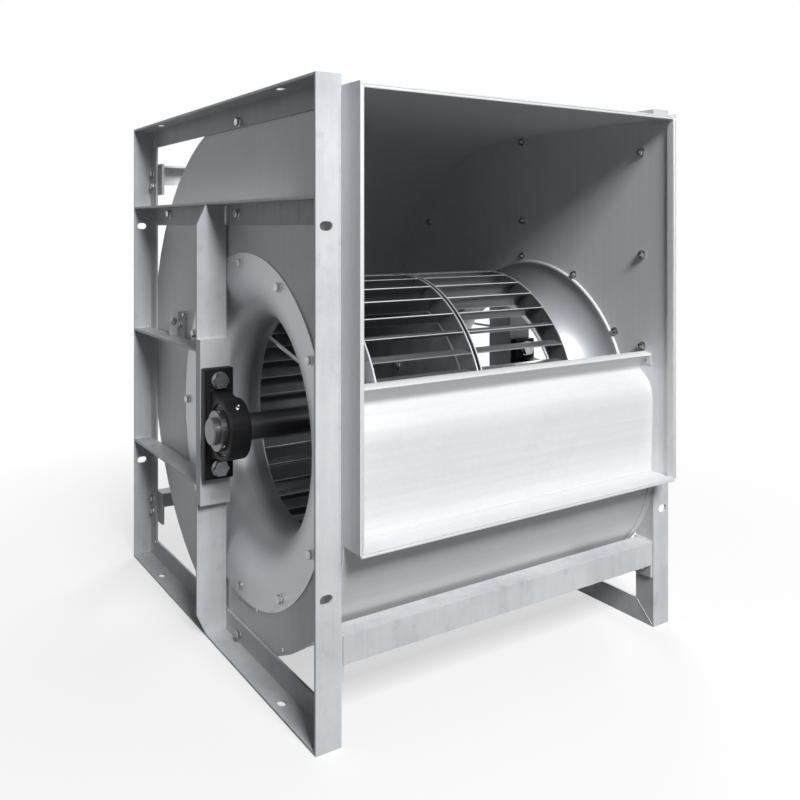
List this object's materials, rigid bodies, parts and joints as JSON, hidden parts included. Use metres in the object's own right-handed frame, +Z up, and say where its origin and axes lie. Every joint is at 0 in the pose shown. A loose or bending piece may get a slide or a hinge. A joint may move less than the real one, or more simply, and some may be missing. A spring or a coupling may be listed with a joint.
{
  "type": "centrifugal fan",
  "caption": "Double-inlet centrifugal fan with forward-curved wheel, scroll casing, square outlet and welded angle-steel side frames.",
  "frame": {"origin": "on the floor, under the middle of the whole fan's bounding box, midway between the two side frames", "axes": "+X along the shaft to the right-hand inlet, -Y the way the air leaves the outlet, +Z up"},
  "size_m": [0.7698, 0.89, 0.925],
  "materials": {
    "galvanised_sheet": "galvanised sheet, faint rolling lines, low gloss",
    "zinc_coated_angle": "zinc-sprayed hot-rolled angle, satin",
    "black_cast_iron": "black painted casting",
    "bright_zinc": "bright zinc plate",
    "dark_shaft_steel": "black-lacquered turned steel"
  },
  "bodies": {
    "casing": {"left_front_post": "zinc_coated_angle", "right_front_post": "zinc_coated_angle", "left_rear_post": "zinc_coated_angle", "right_rear_post": "zinc_coated_angle", "left_top_rail": "zinc_coated_angle", "right_top_rail": "zinc_coated_angle", "left_bottom_rail": "zinc_coated_angle", "right_bottom_rail": "zinc_coated_angle", "left_upper_cross_rail": "zinc_coated_angle", "right_upper_cross_rail": "zinc_coated_angle", "left_bearing_bar": "zinc_coated_angle", "right_bearing_bar": "zinc_coated_angle", "left_bearing_pad": "zinc_coated_angle", "right_bearing_pad": "zinc_coated_angle", "left_upper_tie_bar": "zinc_coated_angle", "right_upper_tie_bar": "zinc_coated_angle", "left_lower_tie_bar": "zinc_coated_angle", "right_lower_tie_bar": "zinc_coated_angle", "left_tie_clip": "zinc_coated_angle", "right_tie_clip": "zinc_coated_angle", "front_lower_cross_bar": "zinc_coated_angle", "rear_lower_cross_bar": "zinc_coated_angle", "rear_upper_cross_bar": "zinc_coated_angle", "left_side_plate": "galvanised_sheet", "right_side_plate": "galvanised_sheet", "scroll_wrap": "galvanised_sheet", "outlet_sill": "galvanised_sheet", "cutoff_plate": "galvanised_sheet", "left_inlet_cone": "galvanised_sheet", "right_inlet_cone": "galvanised_sheet", "left_bearing_housing": "black_cast_iron", "right_bearing_housing": "black_cast_iron", "left_bearing_outer_race": "bright_zinc", "right_bearing_outer_race": "bright_zinc", "left_upper_bearing_bolt": "bright_zinc", "right_upper_bearing_bolt": "bright_zinc", "left_lower_bearing_bolt": "bright_zinc", "right_lower_bearing_bolt": "bright_zinc"},
    "rotor": {"shaft": "dark_shaft_steel", "hub": "dark_shaft_steel", "left_wheel_disc": "galvanised_sheet", "right_wheel_disc": "galvanised_sheet", "left_blade_row": "galvanised_sheet", "right_blade_row": "galvanised_sheet", "left_stay_rod_1": "bright_zinc", "left_stay_rod_2": "bright_zinc", "left_stay_rod_3": "bright_zinc", "right_stay_rod_1": "bright_zinc", "right_stay_rod_2": "bright_zinc", "right_stay_rod_3": "bright_zinc", "left_bearing_sleeve": "bright_zinc", "right_bearing_sleeve": "bright_zinc"}
  },
  "joints": [
    {"name": "wheel_spin", "type": "hinge", "parent": "casing", "child": "rotor", "pos_m": [0, -0.07, 0.377], "axis": [1, 0, 0], "continuous": true}
  ]
}
